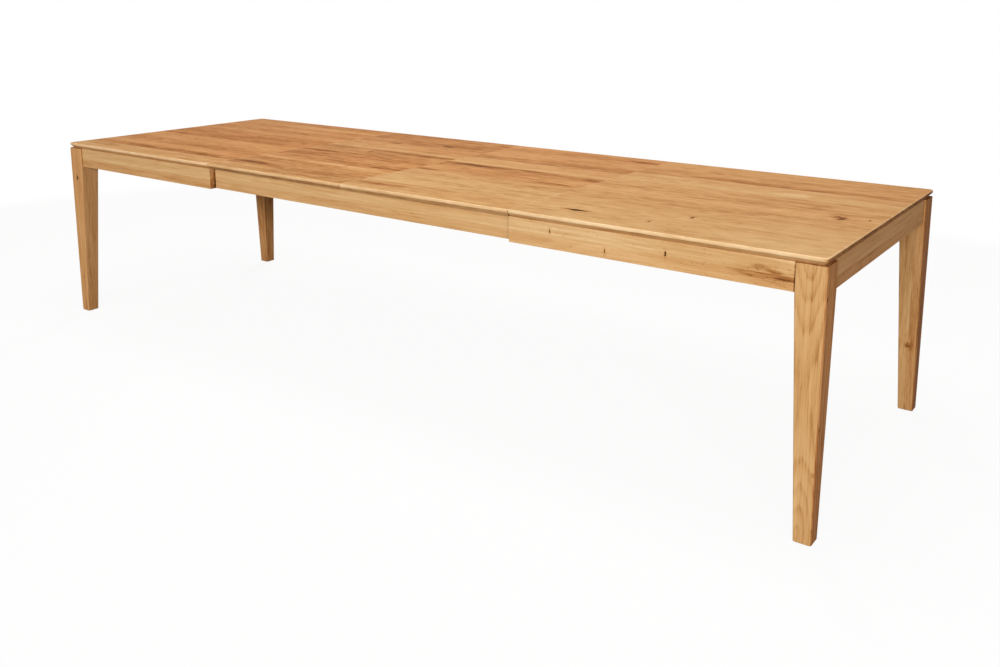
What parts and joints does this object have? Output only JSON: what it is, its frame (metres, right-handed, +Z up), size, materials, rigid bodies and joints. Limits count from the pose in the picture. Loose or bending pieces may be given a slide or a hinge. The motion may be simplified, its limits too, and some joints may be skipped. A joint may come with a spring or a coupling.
{
  "type": "extending dining table",
  "caption": "Long solid oak dining table whose legged ends slide apart on a grooved centre frame to take loose insert leaves, with tapered legs and a thin bevelled top edge",
  "frame": {"origin": "on the floor under the middle of the opened table", "axes": "+X along the table, +Y to the back, +Z up"},
  "size_m": [3.3, 1.075, 0.76],
  "materials": {
    "oiled_oak": "oiled knotty oak",
    "beech": "plain planed beech",
    "zinc_steel": "zinc plated",
    "brass": "turned brass",
    "felt": "pressed wool felt"
  },
  "bodies": {
    "centre_frame": {"front_rail": "oiled_oak", "back_rail": "oiled_oak", "left_cross_board": "beech", "middle_cross_board": "beech", "right_cross_board": "beech", "cross_board_dowels": "beech", "left_stop_pegs": "beech", "right_stop_pegs": "beech"},
    "left_end": {"left_top": "oiled_oak", "left_front_leg": "oiled_oak", "left_back_leg": "oiled_oak", "left_front_apron": "oiled_oak", "left_back_apron": "oiled_oak", "left_end_apron": "oiled_oak", "left_front_runner": "beech", "left_back_runner": "beech", "left_stop_batten": "beech", "left_top_batten": "beech", "left_apron_dowels": "beech", "left_top_dowels": "beech", "left_buttons": "beech", "left_button_screws": "zinc_steel", "left_runner_screws": "zinc_steel", "left_batten_screws": "zinc_steel", "left_floor_glides": "felt"},
    "left_leaf": {"left_leaf": "oiled_oak", "left_leaf_inner_cleat": "beech", "left_leaf_outer_cleat": "beech", "left_leaf_pins": "brass", "left_leaf_screws": "zinc_steel"},
    "right_end": {"right_top": "oiled_oak", "right_front_leg": "oiled_oak", "right_back_leg": "oiled_oak", "right_front_apron": "oiled_oak", "right_back_apron": "oiled_oak", "right_end_apron": "oiled_oak", "right_front_runner": "beech", "right_back_runner": "beech", "right_stop_batten": "beech", "right_top_batten": "beech", "right_apron_dowels": "beech", "right_top_dowels": "beech", "right_buttons": "beech", "right_button_screws": "zinc_steel", "right_runner_screws": "zinc_steel", "right_batten_screws": "zinc_steel", "right_floor_glides": "felt"},
    "right_leaf": {"right_leaf": "oiled_oak", "right_leaf_inner_cleat": "beech", "right_leaf_outer_cleat": "beech", "right_leaf_pins": "brass", "right_leaf_screws": "zinc_steel"}
  },
  "joints": [
    {"name": "right_end_slide", "type": "slide", "parent": "centre_frame", "child": "right_end", "axis": [1, 0, 0], "range_m": [-0.7, 0]},
    {"name": "left_end_slide", "type": "slide", "parent": "centre_frame", "child": "left_end", "axis": [-1, 0, 0], "range_m": [-0.7, 0]},
    {"name": "right_leaf_lift", "type": "slide", "parent": "centre_frame", "child": "right_leaf", "axis": [0, 0, 1], "range_m": [0, 0.56]},
    {"name": "left_leaf_lift", "type": "slide", "parent": "centre_frame", "child": "left_leaf", "axis": [0, 0, 1], "range_m": [0, 0.56]}
  ],
  "couplings": [
    {"joint": "right_leaf_lift", "follows": "right_end_slide", "ratio": -0.8},
    {"joint": "left_leaf_lift", "follows": "left_end_slide", "ratio": -0.8}
  ]
}
